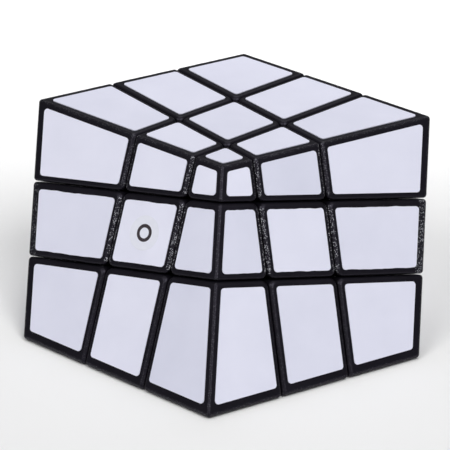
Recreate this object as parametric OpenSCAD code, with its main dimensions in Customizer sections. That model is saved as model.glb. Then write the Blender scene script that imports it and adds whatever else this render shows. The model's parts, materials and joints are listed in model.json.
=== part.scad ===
// Twisting puzzle in the shape of an oblate rhombohedron: a 3 x 3 x 3 mechanism whose six faces
// are equal rhombi. It rests on its bottom face. The near blunt corner points towards -Y, and
// the origin is at the middle of the resting face's level, under the core.

/* [Block] */
// Distance from the core's centre to each black outer face
face_d = 26; // [24:0.5:34]
// How far each outer face leans towards the near corner, as a slope along each cut direction
face_slope = 0.25; // [0.1:0.01:0.3]
// Depth of the flat on the six sharp outer edges
edge_flat = 1; // [0.2:0.1:2]

/* [Cuts] */
// Half the thickness of a middle layer
cut_d = 9.5; // [9:0.1:10.5]
// Half the thickness of a middle layer inside the ball track, where the feet are
foot_cut_d = 6.6; // [6:0.1:7.5]
// Radius of the ball track that the outer bodies slide on and the feet slide under
track_r = 19.5; // [18.5:0.1:20.5]
// Radius of the empty space around the core
hub_r = 10.6; // [10:0.1:11]
// Clearance between two moving pieces
gap = 0.25; // [0.1:0.05:0.4]

/* [Stickers] */
// Thickness of the silver film
film_t = 0.2; // [0.1:0.05:0.4]
// Black border between a sticker and the middle of the nearest cut
cut_border = 1.7; // [1:0.1:3]
// Black border between a sticker and a blunt outer edge
blunt_border = 1.5; // [1:0.1:3]
// Black border between a sticker and the flat on a sharp outer edge
sharp_border = 2.1; // [1:0.1:3]
// Extra border above and below the side stickers of the middle layer
middle_trim = 0.15; // [0:0.05:0.5]
// Radius of a sticker's corners
film_corner_r = 0.9; // [0.3:0.1:2]

/* [Core and screws] */
// Radius of the core's ball
core_r = 8.8; // [8:0.1:9.5]
// Radius of the core's six posts
post_r = 4.2; // [3.5:0.1:4.6]
// Distance from the core's centre to a post's flat end
post_end = 11.2; // [10.8:0.1:12]
// Radius of a screw's shank
screw_r = 1.4; // [1.2:0.1:1.6]
// Distance from the core's centre to a screw's tip
screw_tip = 4.5; // [4:0.5:7]
// Radius of a screw's head
head_r = 2.8; // [2.4:0.1:3]
// Height of a screw's head
head_t = 1.9; // [1.5:0.1:2.2]
// Width of each slot of the cross in a screw's head
slot_w = 0.6; // [0.5:0.1:0.8]
// Depth of the cross in a screw's head
slot_depth = 1.1; // [0.8:0.1:1.3]
// Radius of a washer
washer_r = 3.1; // [2.9:0.1:3.4]
// Thickness of a washer
washer_t = 0.5; // [0.3:0.1:0.6]
// Distance from the core's centre to the outer end of a spring
spring_top = 19.6; // [19:0.1:20.2]
// Radius of a spring to the middle of its wire
spring_r = 2.5; // [2.2:0.1:2.9]
// Radius of a spring's wire
wire_r = 0.35; // [0.25:0.05:0.4]
// Turns of a spring
spring_turns = 4; // [3:1:6]

/* [Centres and caps] */
// Radius of the well that holds the spring and the screw's head
well_r = 3.9; // [3.5:0.1:4.2]
// Distance from the core's centre to the floor of the well
well_floor = 14.4; // [14:0.1:15.5]
// Thickness of a centre's cap
cap_t = 1.8; // [1.4:0.1:2.2]
// Distance from the core's centre to the inner end of a cap's collar
collar_start = 22.8; // [22.4:0.1:23.2]
// Thickness of a cap's collar
collar_t = 0.8; // [0.6:0.1:1.2]

/* [Hidden] */
// Longer than any outer piece, for the boxes that the cell and slab cuts are made of
big = 200;
// Clearance between parts that are fixed together, and how far a cut starts outside its part
slack = 0.05;
past = 1;
$fn = 96;

// The mechanism's own axes: +X out of the front right face, +Y out of the back right face and
// +Z out of the top face. A cell is [x, y, z], each -1, 0 or 1 along these axes.
lean = atan(face_slope * sqrt(2));
top_n = [face_slope, -face_slope, 1] / norm([face_slope, -face_slope, 1]);
right_n = [top_n.z, -top_n.x, top_n.x];
left_n = [top_n.x, -top_n.z, top_n.x];

// Pieces by the cells that they cover
CENTRES = [
    ["top", [0, 0, 1]], ["bottom", [0, 0, -1]], ["front_right", [1, 0, 0]],
    ["front_left", [0, -1, 0]], ["back_right", [0, 1, 0]], ["back_left", [-1, 0, 0]]
];
SIDES = [for (c = CENTRES) if (c[1].z == 0) c];
UPRIGHTS = [["front", [1, -1]], ["right", [1, 1]], ["left", [-1, -1]], ["back", [-1, 1]]];
LEVELS = [["top", 1], ["bottom", -1]];
EDGES = concat(
    [for (l = LEVELS, s = SIDES) [str(l[0], "_", s[0]), [s[1].x, s[1].y, l[1]]]],
    [for (u = UPRIGHTS) [str("middle_", u[0]), [u[1].x, u[1].y, 0]]]
);
CORNERS = [for (l = LEVELS, u = UPRIGHTS) [str(l[0], "_", u[0]), [u[1].x, u[1].y, l[1]]]];
PIECES = concat(
    [for (c = CENTRES) [str("centre_", c[0]), c[1]]],
    [for (e = EDGES) [str("edge_", e[0]), e[1]]],
    [for (c = CORNERS) [str("corner_", c[0]), c[1]]]
);
CAPS = [for (c = CENTRES) [str("cap_", c[0]), c[1]]];

BLACK = "#17171a";
SILVER = "#cfcdda";
STEEL = "#a9abaf";
CORE_WHITE = "#e4e2dc";

// ---- frames ----

// Puts a shape drawn about the core's centre into the part's frame
module place() translate([0, 0, face_d + film_t]) children();

// Turns the mechanism's axes so that the top face is level
module mechanism() place() rotate([-lean, 0, 0]) rotate([0, 0, -45]) children();

function level(p) = let (back = (p.y - p.x) / sqrt(2))
    [(p.x + p.y) / sqrt(2), back * cos(lean) + p.z * sin(lean), p.z * cos(lean) - back * sin(lean)];

// Turns +Z to an axis
module along(axis) rotate([0, acos(axis.z / norm(axis)), atan2(axis.y, axis.x)]) children();

// ---- the block and its cells ----

// The space between two parallel planes at a distance d from the core
module slab(normal, d) along(normal) cube([big, big, 2 * d], center = true);

// The rhombohedron, with a narrow flat along each of its six sharp edges
module block(d) {
    sharp = 2 * d - edge_flat;
    intersection() {
        slab(top_n, d);
        slab(right_n, d);
        slab(left_n, d);
        slab(top_n - right_n, sharp / norm(top_n - right_n));
        slab(right_n - left_n, sharp / norm(right_n - left_n));
        slab(left_n - top_n, sharp / norm(left_n - top_n));
    }
}

// One cell of the 3 x 3 x 3 grid whose cuts are at a distance d, less half the clearance
module cell_box(cell, d) {
    low = [for (s = cell) s > 0 ? d + gap / 2 : s < 0 ? -big : gap / 2 - d];
    high = [for (s = cell) s > 0 ? big : s < 0 ? -d - gap / 2 : d - gap / 2];
    translate(low) cube(high - low);
}

// An outer body that slides on the ball track, a foot or stem under it, and the neck between
module moulding(cell) difference() {
    union() {
        difference() {
            intersection() {
                block(face_d);
                cell_box(cell, cut_d);
            }
            sphere(track_r + gap / 2);
        }
        intersection() {
            cell_box(cell, foot_cut_d);
            sphere(track_r - gap / 2);
        }
        intersection() {
            cell_box(cell, cut_d);
            cell_box(cell, foot_cut_d);
            sphere(track_r + past);
        }
    }
    sphere(hub_r);
}

// ---- the pieces ----

module edge_or_corner(cell) color(BLACK) mechanism() moulding(cell);

// The outward normal of a centre's outer face, and the space beyond the seam under its cap
function outward(cell) = (cell.x - cell.y + cell.z)
    * (cell.z != 0 ? top_n : cell.x != 0 ? right_n : left_n);
module over_seam(cell) along(outward(cell)) translate([-big / 2, -big / 2, face_d - cap_t]) cube(big);

module centre(cell) color(BLACK) mechanism() difference() {
    moulding(cell);
    along(cell) {
        cylinder(h = post_end + gap / 2, r = post_r + gap / 2);
        cylinder(h = big, r = screw_r + gap);
        translate([0, 0, well_floor]) cylinder(h = big, r = well_r);
    }
    over_seam(cell);
}

// A flat lid in the shape of the facet, with a round collar that plugs into the well
module cap(cell) color(BLACK) mechanism() {
    intersection() {
        block(face_d);
        cell_box(cell, cut_d);
        over_seam(cell);
    }
    difference() {
        along(cell) translate([0, 0, collar_start]) difference() {
            cylinder(h = big, r = well_r - slack);
            translate([0, 0, -past]) cylinder(h = big, r = well_r - slack - collar_t);
        }
        over_seam(cell);
    }
}

// ---- stickers ----

// A plane's trace on a level at height h, as [normal x, normal y, distance]
function trace(normal, d, h) = let (m = norm([normal.x, normal.y]))
    [normal.x / m, normal.y / m, (d - normal.z * h) / m];

// The four traces that bound a row of facets on the top face, from the sharp border to the blunt one
function row_bounds(axis, side_n) = let (n = level(side_n), up = [0, 0, 1]) [
    trace(n - up, edge_flat - 2 * face_d, face_d),
    trace(level(axis), -cut_d, face_d),
    trace(level(axis), cut_d, face_d),
    trace(n, face_d, face_d)
];

function cross_point(a, b) = let (det = a.x * b.y - a.y * b.x)
    [(a.z * b.y - a.y * b.z) / det, (a.x * b.z - a.z * b.x) / det];

// The pair of traces that bound a sticker on the facet i of a row, with the borders taken off
function sticker_bounds(rows, i, extra) =
    let (borders = [sharp_border, cut_border, cut_border, blunt_border])
    [for (s = [1, -1], k = [s > 0 ? i + 1 : i + 2])
        [rows[k].x, rows[k].y, rows[k].z + s * (borders[k] + extra)]];

// A sticker on the top face, on the facet i towards the front right and j towards the front left.
// Each direction may have some extra border.
module top_sticker(i, j, extra_i = 0, extra_j = 0) {
    r = sticker_bounds(row_bounds([1, 0, 0], right_n), i, extra_i);
    l = sticker_bounds(row_bounds([0, -1, 0], left_n), j, extra_j);
    translate([0, 0, face_d]) linear_extrude(film_t)
        offset(r = film_corner_r, $fn = 32) offset(delta = -film_corner_r)
            polygon([cross_point(r[0], l[0]), cross_point(r[1], l[0]),
                     cross_point(r[1], l[1]), cross_point(r[0], l[1])]);
}

// Thirds of a turn about the line between the two blunt corners, which swap the faces round
module third_turns(n) rotate(a = 120 * n, v = level([1, -1, 1])) children();

// Every sticker of a piece. Each face is the top face turned about the blunt corners' line,
// and the three far faces are also turned over.
module stickers(cell) color(SILVER) place() {
    x = cell.x;
    y = cell.y;
    z = cell.z;
    trim = z == 0 ? middle_trim : 0;
    if (z > 0) top_sticker(x, -y);
    if (x > 0) third_turns(-1) top_sticker(-y, z, extra_j = trim);
    if (y < 0) third_turns(1) top_sticker(z, x, extra_i = trim);
    if (z < 0) rotate([180, 0, 0]) top_sticker(y, -x);
    if (x < 0) third_turns(-1) rotate([180, 0, 0]) top_sticker(-z, y, extra_i = trim);
    if (y > 0) third_turns(1) rotate([180, 0, 0]) top_sticker(-x, -z, extra_j = trim);
}

// ---- the core and the screws ----

module core() color(CORE_WHITE) mechanism() difference() {
    union() {
        sphere(core_r);
        for (c = CENTRES) along(c[1]) cylinder(h = post_end, r = post_r);
    }
    for (c = CENTRES) along(c[1]) translate([0, 0, screw_tip - slack])
        cylinder(h = post_end, r = screw_r);
}

// A round wire wound about the Z axis, from z0 up to z1
module coil_spring(z0, z1) {
    sides = 6;
    steps = 9 * spring_turns;
    rise = z1 - z0 - 2 * wire_r;
    points = [for (i = [0:steps], s = [0:sides - 1]) let (
        a = 360 * spring_turns * i / steps, b = 360 * s / sides, out = spring_r + wire_r * cos(b)
    ) [out * cos(a), out * sin(a), z0 + wire_r + rise * i / steps + wire_r * sin(b)]];
    sleeve = [for (i = [0:steps - 1], s = [0:sides - 1], half = [0, 1]) let (
        a = i * sides + s, b = i * sides + (s + 1) % sides
    ) half == 0 ? [a, b, b + sides] : [a, b + sides, a + sides]];
    ends = [[for (s = [sides - 1:-1:0]) s], [for (s = [0:sides - 1]) steps * sides + s]];
    polyhedron(points, concat(sleeve, ends));
}

// A pan head screw in the core, and the washer and spring between its head and the centre
module spring_screw_sets() mechanism() for (c = CENTRES) along(c[1]) {
    washer_z = spring_top + slack;
    head_z = washer_z + washer_t + slack;
    color(STEEL) difference() {
        union() {
            translate([0, 0, screw_tip]) cylinder(h = head_z - screw_tip, r = screw_r);
            translate([0, 0, head_z]) cylinder(h = head_t, r = head_r);
        }
        for (a = [0, 90]) rotate([0, 0, a]) translate([-screw_r, -slot_w / 2, head_z + head_t - slot_depth])
            cube([2 * screw_r, slot_w, slot_depth + past]);
    }
    color(STEEL) translate([0, 0, washer_z]) difference() {
        cylinder(h = washer_t, r = washer_r);
        translate([0, 0, -past]) cylinder(h = washer_t + 2 * past, r = screw_r + slack);
    }
    color(STEEL) coil_spring(well_floor, spring_top);
}

core();
spring_screw_sets();
for (p = PIECES) {
    is_centre = abs(p[1].x) + abs(p[1].y) + abs(p[1].z) == 1;
    union() {
        if (is_centre) centre(p[1]);
        else edge_or_corner(p[1]);
    }
    stickers(p[1]);
}
for (c = CAPS) cap(c[1]);
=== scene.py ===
import json
import math

import bmesh
import bpy
from mathutils import Matrix, Vector, noise


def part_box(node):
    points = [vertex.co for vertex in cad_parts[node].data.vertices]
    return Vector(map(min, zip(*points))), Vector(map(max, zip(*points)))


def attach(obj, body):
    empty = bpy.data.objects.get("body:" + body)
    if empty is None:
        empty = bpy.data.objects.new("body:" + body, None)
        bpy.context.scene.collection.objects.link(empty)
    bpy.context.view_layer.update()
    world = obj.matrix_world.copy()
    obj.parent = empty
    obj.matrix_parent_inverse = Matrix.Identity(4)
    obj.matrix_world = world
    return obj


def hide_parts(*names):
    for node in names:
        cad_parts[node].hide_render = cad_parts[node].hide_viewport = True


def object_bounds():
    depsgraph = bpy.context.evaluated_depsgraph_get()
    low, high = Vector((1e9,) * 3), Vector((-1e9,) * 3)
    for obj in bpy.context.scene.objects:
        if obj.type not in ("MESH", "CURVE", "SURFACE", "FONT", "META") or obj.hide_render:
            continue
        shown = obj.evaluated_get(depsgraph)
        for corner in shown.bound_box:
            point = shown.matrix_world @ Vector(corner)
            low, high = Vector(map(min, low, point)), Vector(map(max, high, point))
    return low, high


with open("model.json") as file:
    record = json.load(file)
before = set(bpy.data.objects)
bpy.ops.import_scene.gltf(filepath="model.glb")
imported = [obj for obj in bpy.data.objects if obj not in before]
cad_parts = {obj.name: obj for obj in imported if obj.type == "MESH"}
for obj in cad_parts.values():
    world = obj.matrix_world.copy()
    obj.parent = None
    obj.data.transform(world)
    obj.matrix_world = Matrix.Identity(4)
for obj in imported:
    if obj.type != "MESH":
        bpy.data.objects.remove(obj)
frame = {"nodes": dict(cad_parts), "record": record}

cad_low, cad_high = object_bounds()


# ---- Camera ----
# A long lens a little above the puzzle, which stands with its near blunt corner towards it.
# The core's centre is half way between the puzzle's two level faces.
MM = 0.001
core_centre = Vector((0, 0, (cad_low.z + cad_high.z) / 2))
camera_azimuth = math.radians(4.33)
camera_elevation = math.radians(26.47)
camera_roll = math.radians(0.67)
camera_distance = 789.7 * MM
aim = core_centre + Vector((-0.59, 0.21, 0.52)) * MM

camera_data = bpy.data.cameras.new("camera")
camera_data.sensor_width = 36
camera_data.lens = 244.2
camera_data.clip_start = 0.05
camera_data.clip_end = 20
camera = bpy.data.objects.new("camera", camera_data)
bpy.context.scene.collection.objects.link(camera)
towards_camera = Vector((
    math.sin(camera_azimuth) * math.cos(camera_elevation),
    -math.cos(camera_azimuth) * math.cos(camera_elevation),
    math.sin(camera_elevation),
))
camera.matrix_world = (
    Matrix.Translation(aim + towards_camera * camera_distance)
    @ towards_camera.to_track_quat("Z", "Y").to_matrix().to_4x4()
    @ Matrix.Rotation(camera_roll, 4, "Z")
)
bpy.context.scene.camera = camera


# ---- Core ----
# One moulding of undyed nylon: a ball with six posts that the screws bite into.
# Nylon comes out of the mould with a waxy skin, and cloudy patches about 2.5 mm across.
def linear(hex_colour):
    """An sRGB hex colour as linear RGBA."""
    parts = [int(hex_colour[i:i + 2], 16) / 255 for i in (1, 3, 5)]
    return [c / 12.92 if c <= 0.04045 else ((c + 0.055) / 1.055) ** 2.4 for c in parts] + [1.0]


def add_node(tree, kind, inputs=None, **settings):
    """Adds a shader node. An input takes a value, or another node's output to link."""
    node = tree.nodes.new(kind)
    for name, value in settings.items():
        setattr(node, name, value)
    for name, value in (inputs or {}).items():
        if isinstance(value, bpy.types.NodeSocket):
            tree.links.new(value, node.inputs[name])
        else:
            node.inputs[name].default_value = value
    return node


def new_material(name):
    """A material with an empty node tree."""
    material = bpy.data.materials.new(name)
    material.use_nodes = True
    material.node_tree.nodes.clear()
    return material, material.node_tree


def show_with(node_name, material):
    """A CAD node whose shape is right keeps it and gets a real finish."""
    mesh = frame["nodes"][node_name].data
    mesh.materials.clear()
    mesh.materials.append(material)


core_nylon, tree = new_material("moulded_nylon")
place = add_node(tree, "ShaderNodeTexCoord").outputs["Object"]
cloud = add_node(tree, "ShaderNodeTexNoise", {"Vector": place, "Scale": 0.4 / MM, "Detail": 3.0})
tint = add_node(tree, "ShaderNodeMix", {
    0: cloud.outputs["Fac"], 6: linear("#dedbd2"), 7: linear("#e9e6de"),
}, data_type="RGBA")
shader = add_node(tree, "ShaderNodeBsdfPrincipled", {
    "Base Color": tint.outputs[2], "Roughness": 0.45, "IOR": 1.53,
})
add_node(tree, "ShaderNodeOutputMaterial", {"Surface": shader.outputs[0]})
show_with("core", core_nylon)


# ---- Screws, washers and springs ----
# Zinc-plated steel, one set in the well of each centre. The plating is bright with a faint
# blue-grey passivation, and has duller spots, drawn about 1 mm across so that they show.
plated_steel, tree = new_material("zinc_plated_steel")
place = add_node(tree, "ShaderNodeTexCoord").outputs["Object"]
spangle = add_node(tree, "ShaderNodeTexNoise", {"Vector": place, "Scale": 0.9 / MM, "Detail": 2.0})
dull = add_node(tree, "ShaderNodeMapRange", {
    "Value": spangle.outputs["Fac"], "To Min": 0.25, "To Max": 0.42,
})
shader = add_node(tree, "ShaderNodeBsdfPrincipled", {
    "Base Color": linear("#c3c6c9"), "Metallic": 1.0, "Roughness": dull.outputs["Result"],
})
add_node(tree, "ShaderNodeOutputMaterial", {"Surface": shader.outputs[0]})
show_with("spring_screw_sets", plated_steel)


# ---- Black pieces ----
# Centres, edges, corners and the centres' caps are black ABS mouldings, rounded at their lips,
# at their outer borders and at the corners of their cells. Layers that scrape past each other
# have left pale scuffs along the upright lips and the middle layer's outermost borders.
cut_distance = 9.5 * MM
black_face_distance = 26 * MM
outer_distance = 25 * MM
track_radius = 20 * MM
cell_corner_round = 1.8 * MM
border_round = 0.5 * MM
lip_round = 0.9 * MM
flat_angle = math.radians(15)

# A lip is scuffed close to its upright cut, up to a short way from the level cuts
scuff_width = 1.2 * MM
scuff_gap = 1.4 * MM

# Every border is lightly rubbed. The real middle layer stands out a little at its ends, so a
# strip along its outermost borders is worn as the lips are.
worn_strip_start = 49.2 * MM
strip_wear = {"edge_middle_right": 0.9, "edge_middle_left": 0.35}
border_wear = 0.12

# The mould's grain gives a soft sheen. It is drawn 0.4 mm coarse so that it shows, as are the
# scuffs' pale chips at 0.35 mm. The chips lie in patches about 0.8 mm across, and handling
# polishes the black in patches of 6 mm.
black_abs, tree = new_material("moulded_black_abs")
place = add_node(tree, "ShaderNodeTexCoord").outputs["Object"]
grain = add_node(tree, "ShaderNodeTexNoise", {"Vector": place, "Scale": 2.6 / MM, "Detail": 3.0})
handling = add_node(tree, "ShaderNodeTexNoise", {"Vector": place, "Scale": 0.16 / MM, "Detail": 4.0})
worn = add_node(tree, "ShaderNodeAttribute", attribute_name="wear")
chips = add_node(tree, "ShaderNodeTexVoronoi", {"Vector": place, "Scale": 2.9 / MM})
specks = add_node(tree, "ShaderNodeMapRange", {
    "Value": chips.outputs["Distance"], "From Min": 0.42, "From Max": 0.24,
})
rubbing = add_node(tree, "ShaderNodeTexNoise", {"Vector": place, "Scale": 1.3 / MM, "Detail": 2.0})
patches = add_node(tree, "ShaderNodeMapRange", {
    "Value": rubbing.outputs["Fac"], "From Min": 0.36, "From Max": 0.56,
})
rubbed = add_node(tree, "ShaderNodeMath", {
    0: specks.outputs["Result"], 1: patches.outputs["Result"],
}, operation="MULTIPLY")
scuffed = add_node(tree, "ShaderNodeMath", {
    0: rubbed.outputs[0], 1: worn.outputs["Fac"],
}, operation="MULTIPLY")
polish = add_node(tree, "ShaderNodeMapRange", {
    "Value": handling.outputs["Fac"], "To Min": 0.3, "To Max": 0.44,
})
tint = add_node(tree, "ShaderNodeMix", {
    0: handling.outputs["Fac"], 6: linear("#08070a"), 7: linear("#100e15"),
}, data_type="RGBA")
pale = add_node(tree, "ShaderNodeMix", {
    0: scuffed.outputs[0], 6: tint.outputs[2], 7: linear("#b4b5bc"),
}, data_type="RGBA")
fine_bump = add_node(tree, "ShaderNodeBump", {
    "Height": grain.outputs["Fac"], "Strength": 0.5, "Distance": 0.05 * MM,
})
scuff_bump = add_node(tree, "ShaderNodeBump", {
    "Height": scuffed.outputs[0], "Strength": 0.5, "Distance": 0.06 * MM,
    "Normal": fine_bump.outputs["Normal"],
})
shader = add_node(tree, "ShaderNodeBsdfPrincipled", {
    "Base Color": pale.outputs[2], "Roughness": polish.outputs["Result"], "IOR": 1.54,
    "Specular IOR Level": 0.22, "Specular Tint": linear("#eae4ff"),
    "Normal": scuff_bump.outputs["Normal"],
})
add_node(tree, "ShaderNodeOutputMaterial", {"Surface": shader.outputs[0]})


def merged_copy(node_name):
    """A CAD node's triangles joined up into its true flat faces."""
    shape = bmesh.new()
    shape.from_mesh(frame["nodes"][node_name].data)
    bmesh.ops.remove_doubles(shape, verts=shape.verts, dist=0.002 * MM)
    bmesh.ops.dissolve_limit(
        shape, angle_limit=math.radians(0.4), verts=shape.verts, edges=shape.edges,
    )
    return shape


def finish_piece(shape, name, node_name, body, material):
    """Turns a bmesh into a piece that stands for a CAD node and rides on its body."""
    mesh = bpy.data.meshes.new(name)
    shape.to_mesh(mesh)
    shape.free()
    mesh.materials.append(material)
    mesh.shade_smooth()
    mesh.set_sharp_from_angle(angle=math.radians(40))
    piece = bpy.data.objects.new(name, mesh)
    bpy.context.scene.collection.objects.link(piece)
    normals = piece.modifiers.new("even_shading", "WEIGHTED_NORMAL")
    normals.keep_sharp = True
    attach(piece, body)
    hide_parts(node_name)


joints = {j["name"]: j for j in frame["record"]["behaviour"]["joints"]}
right_axis, left_axis, upright_axis = [
    Vector(joints[name]["axis"]).normalized()
    for name in ("turn_front_right", "turn_front_left", "turn_top")
]


def outward(body):
    """The outward direction of a centre's facet, from its flat sticker."""
    film = frame["nodes"][body + "_stickers"].data
    normal = max(film.polygons, key=lambda p: p.area).normal.copy()
    low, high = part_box(body + "_stickers")
    return normal if normal.dot((low + high) / 2 - core_centre) > 0 else -normal


# Each side face with the axis that is square to its upright cuts
side_faces = [
    (outward("centre_front_right"), left_axis), (outward("centre_back_left"), left_axis),
    (outward("centre_front_left"), right_axis), (outward("centre_back_right"), right_axis),
]


def distance_out(face):
    """How far a face's plane is from the core's centre."""
    return face.normal.dot(face.verts[0].co - core_centre)


def off_cut(point, axis):
    """How far a point, measured from the core's centre, is from the nearer cut along an axis."""
    return abs(abs(point.dot(axis)) - cut_distance)


def is_outer(face):
    """A face on the outside of the puzzle, or on a rounding between two such faces."""
    return distance_out(face) > outer_distance


def is_cut(face):
    """A flat face that slides on the next layer."""
    return any(
        abs(face.normal.dot(axis)) > 0.9999
        and off_cut(face.verts[0].co - core_centre, axis) < 0.2 * MM
        for axis in (right_axis, left_axis, upright_axis)
    )


def is_lip(edge):
    """An edge of an outer face, against a sliding face."""
    return sum(is_outer(f) for f in edge.link_faces) == 1


def is_border(edge):
    """An edge between two outer faces."""
    return all(is_outer(f) for f in edge.link_faces) and edge.calc_face_angle() > flat_angle


def is_cell_corner(edge):
    """An edge between two sliding faces, outside the ball track."""
    return (
        all(is_cut(f) for f in edge.link_faces) and edge.calc_face_angle() > flat_angle
        and max((v.co - core_centre).length for v in edge.verts) > track_radius
    )


def is_scuffed(face):
    """A face of an upright lip's rounding that looks more outwards than into the cut."""
    middle = face.calc_center_median() - core_centre
    return off_cut(middle, upright_axis) > scuff_gap and any(
        middle.dot(normal) > outer_distance - lip_round
        and face.normal.dot(normal) > 0.55
        and off_cut(middle, axis) < scuff_width
        for normal, axis in side_faces
    )


def in_middle_layer(body):
    """A piece of the layer between the two level cuts."""
    return body.startswith(("edge_middle", "centre_front", "centre_back"))


def scuff_level(body):
    """How scuffed a piece's upright lips are, from 0 to 1."""
    if in_middle_layer(body):
        return 1.0
    if body.startswith("edge_top"):
        return 0.85
    return 0.3 if body.startswith("corner_top") else 0.08


def round_edges(shape, is_wanted, offset, segments):
    """Rounds a moulding's edges of one kind, and gives the faces of the rounding."""
    return bmesh.ops.bevel(
        shape, geom=[e for e in shape.edges if is_wanted(e)], affect="EDGES",
        offset=offset, offset_type="OFFSET", segments=segments, profile=0.5,
        clamp_overlap=False, material=-1,
    )["faces"]


def split_off_strip(shape):
    """Cuts the outer faces along the worn strip's inner side, and gives the strip's faces."""
    out = max(shape.faces, key=distance_out).normal.copy()
    outer = [f for f in shape.faces if is_outer(f)]
    edges = dict.fromkeys(e for f in outer for e in f.edges)
    verts = dict.fromkeys(v for f in outer for v in f.verts)
    bmesh.ops.bisect_plane(
        shape, geom=[*outer, *edges, *verts], dist=0.0001 * MM,
        plane_co=core_centre + out * worn_strip_start, plane_no=out,
    )
    return [
        f for f in shape.faces
        if is_outer(f) and (f.calc_center_median() - core_centre).dot(out) > worn_strip_start
    ]


def round_moulding(shape, body):
    """Rounds the cells' corners, the outer borders and the lips, and marks what is worn."""
    wear = shape.faces.layers.float.new("wear")
    round_edges(shape, is_cell_corner, cell_corner_round, 3)
    for face in round_edges(shape, is_border, border_round, 3):
        face[wear] = border_wear
    if body in strip_wear:
        for face in split_off_strip(shape):
            face[wear] = strip_wear[body]
    for face in round_edges(shape, is_lip, lip_round, 4):
        if is_scuffed(face):
            face[wear] = scuff_level(body)
    # Slivers where the ends of three roundings meet
    bmesh.ops.remove_doubles(shape, verts=shape.verts, dist=0.002 * MM)
    bmesh.ops.dissolve_degenerate(shape, dist=0.002 * MM, edges=shape.edges)


bodies = frame["record"]["behaviour"]["bodies"]
moving = [b for b in bodies if b != "core"]
for body in moving:
    for node_name in bodies[body]:
        if not node_name.endswith("_stickers"):
            moulding = merged_copy(node_name)
            round_moulding(moulding, body)
            finish_piece(moulding, "moulded_" + node_name, node_name, body, black_abs)


# ---- Silver stickers ----
# Die-cut metallised film with a matt varnish, about 0.2 mm thick, one on each facet. No two
# cuttings have quite the same shade. The middle layer's films were trimmed by hand above and
# below, so their edges wander.

# The varnish makes the silver soft and a little cloudy, in patches about 12 mm across. Its
# flecks are drawn 0.3 mm coarse so that they show.
silver_film, tree = new_material("matt_silver_film")
place = add_node(tree, "ShaderNodeTexCoord").outputs["Object"]
mottle = add_node(tree, "ShaderNodeTexNoise", {"Vector": place, "Scale": 0.085 / MM, "Detail": 3.0})
cloud = add_node(tree, "ShaderNodeMapRange", {
    "Value": mottle.outputs["Fac"], "From Min": 0.3, "From Max": 0.7, "To Min": 0.36, "To Max": 0.64,
})
fleck = add_node(tree, "ShaderNodeTexNoise", {"Vector": place, "Scale": 3.5 / MM, "Detail": 1.0})
shade = add_node(tree, "ShaderNodeAttribute", attribute_name="shade")
tone = add_node(tree, "ShaderNodeMath", {
    0: shade.outputs["Fac"], 1: cloud.outputs["Result"],
}, operation="ADD")
half = add_node(tree, "ShaderNodeMath", {0: tone.outputs[0], 1: 0.5}, operation="MULTIPLY")
tint = add_node(tree, "ShaderNodeMix", {
    0: half.outputs[0], 6: linear("#cccee0"), 7: linear("#f0f0ff"),
}, data_type="RGBA")
bump = add_node(tree, "ShaderNodeBump", {
    "Height": fleck.outputs["Fac"], "Strength": 0.2, "Distance": 0.03 * MM,
})
shader = add_node(tree, "ShaderNodeBsdfPrincipled", {
    "Base Color": tint.outputs[2], "Roughness": 0.45, "Metallic": 0.15,
    "Normal": bump.outputs["Normal"],
})
add_node(tree, "ShaderNodeOutputMaterial", {"Surface": shader.outputs[0]})

# Cuttings that came out darker or paler than the rest, on the left and on the right
film_shades = {
    "corner_bottom_front": (-0.4, 0.0), "edge_middle_front": (-0.2, -0.4),
    "edge_top_front_right": (0.0, -0.5), "edge_top_front_left": (0.2, 0.0),
    "corner_top_front": (0.3, 0.1), "corner_top_left": (0.3, 0.0),
    "centre_front_left": (0.3, 0.0), "edge_bottom_front_left": (0.2, 0.0),
}
free_variation = 0.35

# In mm, the trimming blade drifted slowly by up to the first and jittered by the second
blade_drift = 0.16
blade_jitter = 0.06
trimmed_from_height = 6.5 * MM
shortest_trimmed = 5 * MM


def shade_of(face, body):
    """How pale a film is, from 0 to 1. A film on top, or of a piece not listed, varies freely."""
    if body in film_shades and face.normal.z < 0.9:
        return 0.5 + film_shades[body][0 if face.normal.x < 0 else 1]
    draw = noise.noise(face.normal * 7 + face.calc_center_median() * (0.06 / MM))
    return 0.5 + free_variation * draw


def trim_by_hand(film):
    """Lets the upper and lower edges of a piece's films wander along their faces."""
    level_edges = [
        e for e in film.edges
        if e.calc_length() > shortest_trimmed and e.calc_face_angle(0) > 1
        and abs((e.verts[0].co - e.verts[1].co).normalized().dot(upright_axis)) < 0.3
    ]
    bmesh.ops.subdivide_edges(film, edges=level_edges, cuts=18)
    for vert in film.verts:
        height = abs((vert.co - core_centre).dot(upright_axis))
        drift = noise.noise(vert.co * (0.42 / MM)) * blade_drift
        jitter = noise.noise(vert.co * (1.3 / MM)) * blade_jitter
        for normal, _ in side_faces:
            out = (vert.co - core_centre).dot(normal)
            if out > black_face_distance - 0.01 * MM and height > trimmed_from_height:
                along_face = (upright_axis - normal * upright_axis.dot(normal)).normalized()
                vert.co += along_face * (drift + jitter) * MM


for body in moving:
    film = merged_copy(body + "_stickers")
    shade_layer = film.faces.layers.float.new("shade")
    for face in film.faces:
        face[shade_layer] = shade_of(face, body)
    if in_middle_layer(body):
        trim_by_hand(film)
    finish_piece(film, "film_on_" + body, body + "_stickers", body, silver_film)


# ---- Round label ----
# A clear vinyl label 9 mm across and 0.03 mm thick, stuck on the front left centre's film.
# Its printed mark is a plain dark ring.
label_radius = 4.5 * MM
ring_outside = 2.3 * MM
ring_inside = 1.4 * MM
label_thickness = 0.03 * MM

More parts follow.
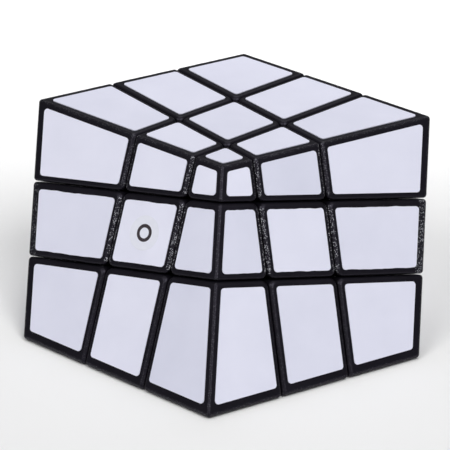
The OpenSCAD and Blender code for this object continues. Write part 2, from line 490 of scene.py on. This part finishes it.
# The vinyl is glossier than the film, with a faint haze in patches of about 1.4 mm
clear_vinyl, tree = new_material("clear_vinyl_label")
place = add_node(tree, "ShaderNodeTexCoord").outputs["Object"]
haze = add_node(tree, "ShaderNodeTexNoise", {"Vector": place, "Scale": 0.7 / MM, "Detail": 2.0})
tint = add_node(tree, "ShaderNodeMix", {
    0: haze.outputs["Fac"], 6: linear("#d6d8e4"), 7: linear("#e3e4ee"),
}, data_type="RGBA")
shader = add_node(tree, "ShaderNodeBsdfPrincipled", {
    "Base Color": tint.outputs[2], "Roughness": 0.3, "IOR": 1.5,
})
add_node(tree, "ShaderNodeOutputMaterial", {"Surface": shader.outputs[0]})

# The ink is a warm near-black whose cover is uneven over about 0.4 mm
printed_ink, tree = new_material("printed_dark_ink")
place = add_node(tree, "ShaderNodeTexCoord").outputs["Object"]
coverage = add_node(tree, "ShaderNodeTexNoise", {"Vector": place, "Scale": 2.5 / MM, "Detail": 2.0})
tint = add_node(tree, "ShaderNodeMix", {
    0: coverage.outputs["Fac"], 6: linear("#2a2328"), 7: linear("#393036"),
}, data_type="RGBA")
shader = add_node(tree, "ShaderNodeBsdfPrincipled", {
    "Base Color": tint.outputs[2], "Roughness": 0.4, "IOR": 1.5,
})
add_node(tree, "ShaderNodeOutputMaterial", {"Surface": shader.outputs[0]})

label_shape = bmesh.new()
bmesh.ops.create_circle(label_shape, cap_ends=True, segments=64, radius=label_radius)
label_shape.faces.ensure_lookup_table()
middle_face = label_shape.faces[0]
for step, ink in ((label_radius - ring_outside, 0), (ring_outside - ring_inside, 1)):
    rim = bmesh.ops.inset_region(
        label_shape, faces=[middle_face], thickness=step, use_boundary=True, use_even_offset=True,
    )
    for face in rim["faces"]:
        face.material_index = ink
raised = bmesh.ops.extrude_face_region(label_shape, geom=label_shape.faces[:])
raised_verts = [v for v in raised["geom"] if isinstance(v, bmesh.types.BMVert)]
bmesh.ops.translate(label_shape, verts=raised_verts, vec=(0, 0, label_thickness))
bmesh.ops.recalc_face_normals(label_shape, faces=label_shape.faces)

label_normal = outward("centre_front_left")
film_low, film_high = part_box("centre_front_left_stickers")
label_place = (film_low + film_high) / 2
film_height = max(
    (v.co - core_centre).dot(label_normal)
    for v in frame["nodes"]["centre_front_left_stickers"].data.vertices
)
label_place += label_normal * (film_height - (label_place - core_centre).dot(label_normal))
label_turn = label_normal.to_track_quat("Z", "Y").to_matrix().to_4x4()
bmesh.ops.transform(
    label_shape, verts=label_shape.verts, matrix=Matrix.Translation(label_place) @ label_turn,
)
label_mesh = bpy.data.meshes.new("round_label")
label_shape.to_mesh(label_mesh)
label_shape.free()
label_mesh.materials.append(clear_vinyl)
label_mesh.materials.append(printed_ink)
label = bpy.data.objects.new("round_label", label_mesh)
bpy.context.scene.collection.objects.link(label)
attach(label, "centre_front_left")


# ---- Floor and light ----
# A plain pale matt floor just under the puzzle, in a white studio. Three large soft boxes light
# the puzzle from high behind and from both sides in front, and a narrow one lights the floor
# behind it.
floor_reach = 6000 * MM
floor_gap = 0.02 * MM

floor_mesh = bpy.data.meshes.new("floor")
floor_shape = bmesh.new()
bmesh.ops.create_grid(floor_shape, x_segments=1, y_segments=1, size=floor_reach)
bmesh.ops.translate(floor_shape, verts=floor_shape.verts, vec=(0, 0, cad_low.z - floor_gap))
floor_shape.to_mesh(floor_mesh)
floor_shape.free()
floor = bpy.data.objects.new("floor", floor_mesh)
bpy.context.scene.collection.objects.link(floor)
floor_paint, tree = new_material("pale_floor")
shader = add_node(tree, "ShaderNodeBsdfPrincipled", {
    "Base Color": linear("#e7e7e7"), "Roughness": 0.8, "Specular IOR Level": 0.2,
})
add_node(tree, "ShaderNodeOutputMaterial", {"Surface": shader.outputs[0]})
floor_mesh.materials.append(floor_paint)


def soft_light(name, place, size, power, target=core_centre, spread=180):
    """A square soft box that faces the puzzle's core, or another target."""
    light_data = bpy.data.lights.new(name, "AREA")
    light_data.size = size
    light_data.energy = power
    light_data.spread = math.radians(spread)
    light = bpy.data.objects.new(name, light_data)
    bpy.context.scene.collection.objects.link(light)
    turn = (Vector(place) - Vector(target)).to_track_quat("Z", "Y").to_matrix().to_4x4()
    light.matrix_world = Matrix.Translation(place) @ turn


soft_light("high_behind", place=(0.0, 0.55, 1.1), size=0.9, power=3.3)
soft_light("front_right", place=(0.5, -0.75, 1.25), size=0.8, power=14.2)
soft_light("front_left", place=(-0.7, -0.75, 1.15), size=0.8, power=8.5)
soft_light(
    "floor_behind", place=(0.0, 0.45, 0.6), size=0.5, power=1.3, target=(0.0, 0.45, 0.0), spread=55,
)

world = bpy.data.worlds.new("studio")
world.use_nodes = True
world.node_tree.nodes["Background"].inputs["Color"].default_value = (1, 1, 1, 1)
world.node_tree.nodes["Background"].inputs["Strength"].default_value = 0.15
bpy.context.scene.world = world
bpy.context.scene.view_settings.view_transform = "Standard"
